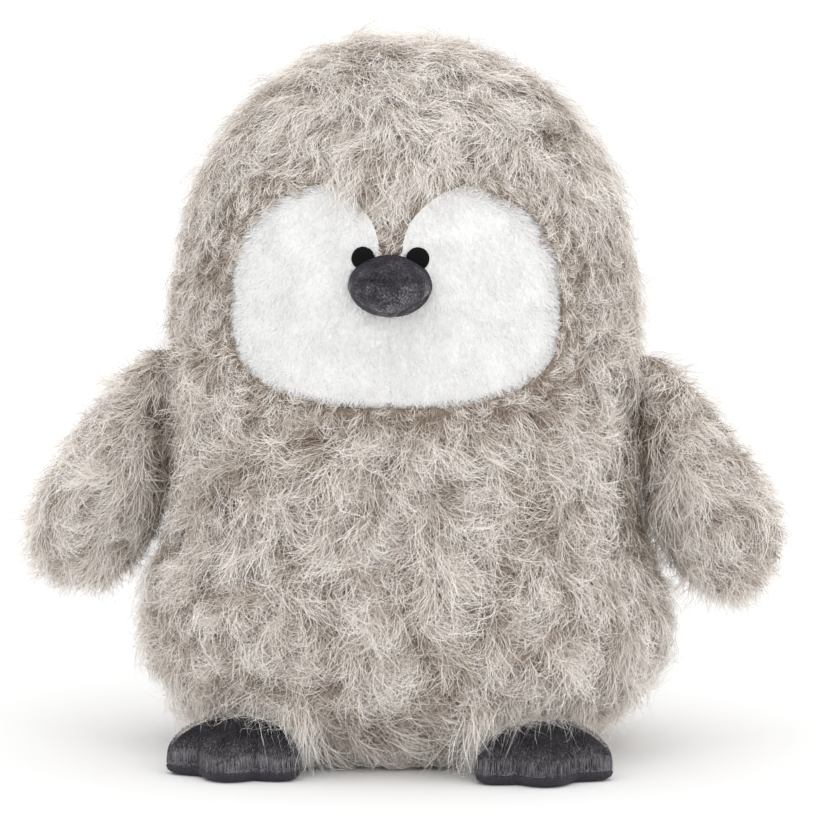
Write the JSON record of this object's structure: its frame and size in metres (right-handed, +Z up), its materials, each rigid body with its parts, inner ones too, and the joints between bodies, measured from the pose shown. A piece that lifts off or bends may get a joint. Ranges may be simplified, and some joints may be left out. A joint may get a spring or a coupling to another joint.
{
  "type": "plush penguin chick",
  "caption": "Standing plush penguin chick in long curly fur, with a white face, velvet beak and feet, embroidered eyes and soft wings that lift and swing.",
  "frame": {"origin": "on the floor at the middle of the flat base", "axes": "+Z up, the face looks along -Y, +X to the toy's own left"},
  "size_m": [0.2552, 0.1587, 0.243],
  "materials": {
    "long_fur": "matte",
    "face_fur": "matte",
    "velvet": "matte",
    "eye_thread": "satin",
    "thread": "matte",
    "filling": "matte"
  },
  "bodies": {
    "torso": {"crown_strip": "long_fur", "face_left": "face_fur", "face_right": "face_fur", "front_left": "long_fur", "front_right": "long_fur", "back_left": "long_fur", "back_right": "long_fur", "base_panel": "long_fur", "body_filling": "filling", "pellet_bag": "filling", "face_seam": "thread", "closing_seam": "thread", "eye_left": "eye_thread", "eye_right": "eye_thread", "beak_upper": "velvet", "beak_lower": "velvet", "beak_filling": "filling"},
    "left_shoulder": {"shoulder_left": "long_fur"},
    "left_wing": {"wing_left_front": "long_fur", "wing_left_back": "long_fur", "wing_left_filling": "filling"},
    "left_foot": {"foot_left_upper": "velvet", "foot_left_sole": "velvet", "foot_left_filling": "filling"},
    "right_shoulder": {"shoulder_right": "long_fur"},
    "right_wing": {"wing_right_front": "long_fur", "wing_right_back": "long_fur", "wing_right_filling": "filling"},
    "right_foot": {"foot_right_upper": "velvet", "foot_right_sole": "velvet", "foot_right_filling": "filling"}
  },
  "joints": [
    {"name": "left_wing_lift", "type": "hinge", "parent": "torso", "child": "left_shoulder", "pos_m": [0.0775, 0, 0.1372], "axis": [0, -1, 0], "range_deg": [0, 40], "stiffness_Nm_per_rad": 0.02},
    {"name": "left_wing_swing", "type": "hinge", "parent": "left_shoulder", "child": "left_wing", "pos_m": [0.0786, 0, 0.121], "axis": [0, 0, -1], "range_deg": [-35, 40], "stiffness_Nm_per_rad": 0.01},
    {"name": "left_foot_lift", "type": "hinge", "parent": "torso", "child": "left_foot", "pos_m": [0.05, -0.0455, 0.011], "axis": [-1, 0, 0], "range_deg": [0, 13], "stiffness_Nm_per_rad": 0.02},
    {"name": "right_wing_lift", "type": "hinge", "parent": "torso", "child": "right_shoulder", "pos_m": [-0.0775, 0, 0.1372], "axis": [0, 1, 0], "range_deg": [0, 40], "stiffness_Nm_per_rad": 0.02},
    {"name": "right_wing_swing", "type": "hinge", "parent": "right_shoulder", "child": "right_wing", "pos_m": [-0.0786, 0, 0.121], "axis": [0, 0, 1], "range_deg": [-35, 40], "stiffness_Nm_per_rad": 0.01},
    {"name": "right_foot_lift", "type": "hinge", "parent": "torso", "child": "right_foot", "pos_m": [-0.05, -0.0455, 0.011], "axis": [-1, 0, 0], "range_deg": [0, 13], "stiffness_Nm_per_rad": 0.02}
  ]
}
